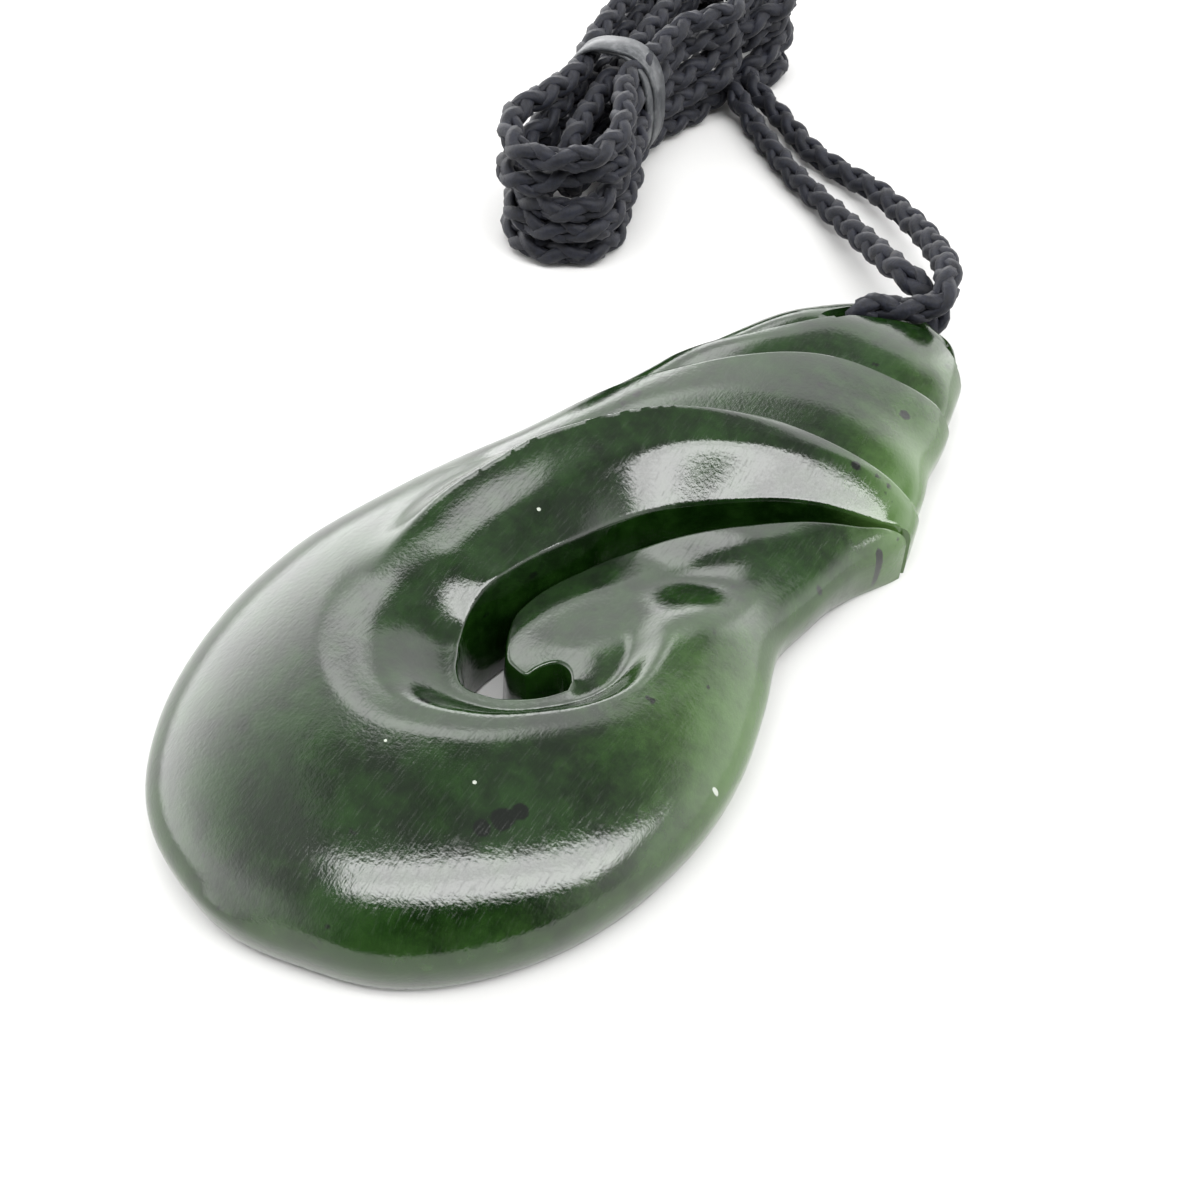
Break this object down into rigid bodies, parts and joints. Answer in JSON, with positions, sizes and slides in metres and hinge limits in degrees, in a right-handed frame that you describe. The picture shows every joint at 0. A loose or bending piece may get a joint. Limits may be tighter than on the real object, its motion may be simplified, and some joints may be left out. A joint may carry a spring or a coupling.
{
  "type": "greenstone fish hook pendant",
  "caption": "Carved nephrite pendant, a hook curling into a spiral bulb under overlapping ridges, with a plaited neck cord bundled in a hank by a rubber band.",
  "frame": {"origin": "centre of the stone's bounding box on its flat back", "axes": "+Y along the stone from the round bulb to the cord hole, +Z out of the carved front, +X to the side where the slit opens"},
  "size_m": [0.0581, 0.1175, 0.0122],
  "materials": {
    "nephrite": "polished, mottled dark to light green, a little translucent at thin edges",
    "plaited_cord": "matt blue-black round plait",
    "rubber_band": "dark grey, smooth with a faint sheen"
  },
  "bodies": {
    "root": {"greenstone_hook": "nephrite", "cord_bight": "plaited_cord", "cord_lead_upper": "plaited_cord", "cord_lead_lower": "plaited_cord", "cord_hank": "plaited_cord", "hank_band": "rubber_band"}
  },
  "joints": []
}
